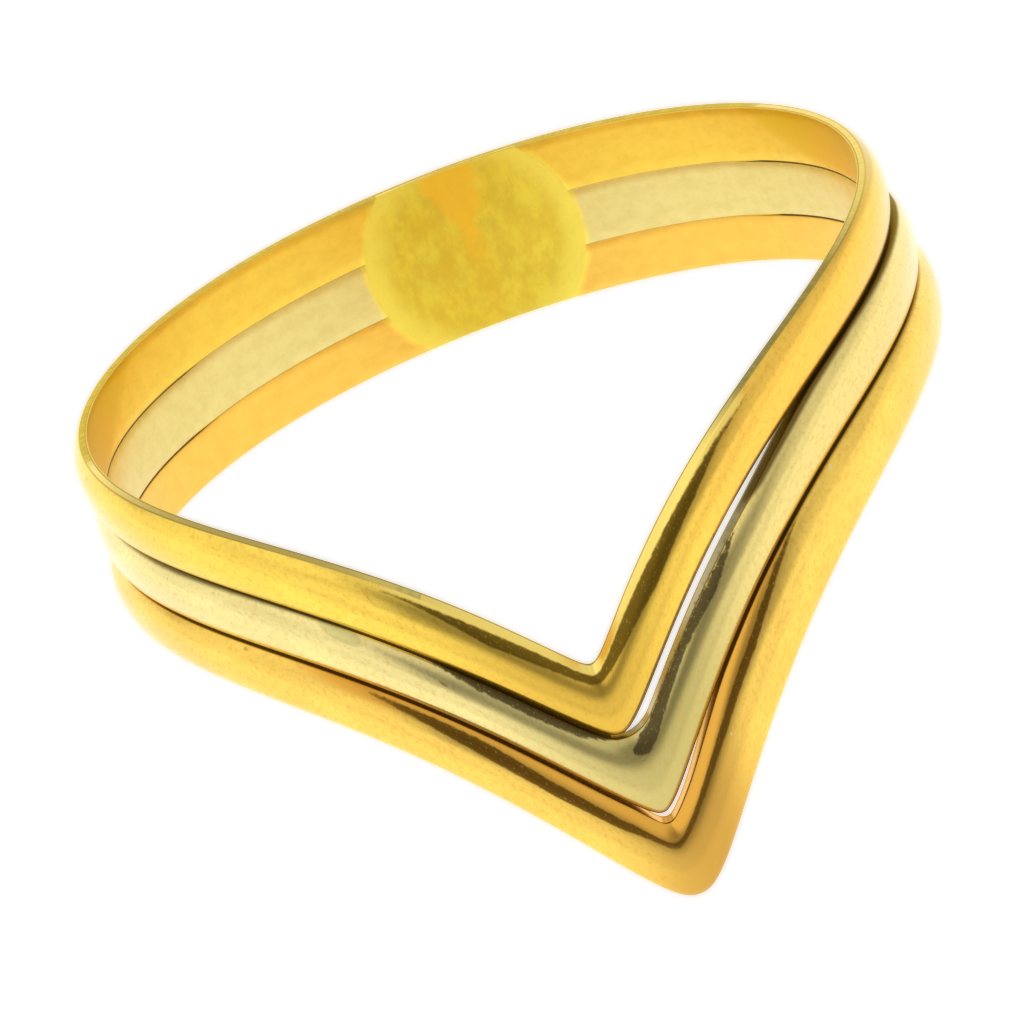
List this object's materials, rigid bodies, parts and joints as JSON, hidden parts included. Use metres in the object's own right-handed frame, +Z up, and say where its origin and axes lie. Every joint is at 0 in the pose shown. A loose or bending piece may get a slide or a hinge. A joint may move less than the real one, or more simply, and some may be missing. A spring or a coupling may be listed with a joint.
{
  "type": "wishbone wedding ring",
  "caption": "Wishbone wedding ring: slim D-section gold bands in contrasting golds, nested in a sharp V at the front and soldered together at the back.",
  "frame": {"origin": "middle of the footprint, on the surface that the ring rests on, where the point of the V and the lower edge at the back touch", "axes": "+Z up from that surface, +Y from the point of the V towards the back of the ring, +X across it"},
  "size_m": [0.0182, 0.0208, 0.0084],
  "materials": {
    "yellow_gold": "polished",
    "white_gold": "polished",
    "warm_gold": "polished",
    "gold_solder": "satin"
  },
  "bodies": {
    "root": {"upper_band": "yellow_gold", "middle_band": "white_gold", "lower_band": "warm_gold", "solder_joint": "gold_solder"}
  },
  "joints": []
}
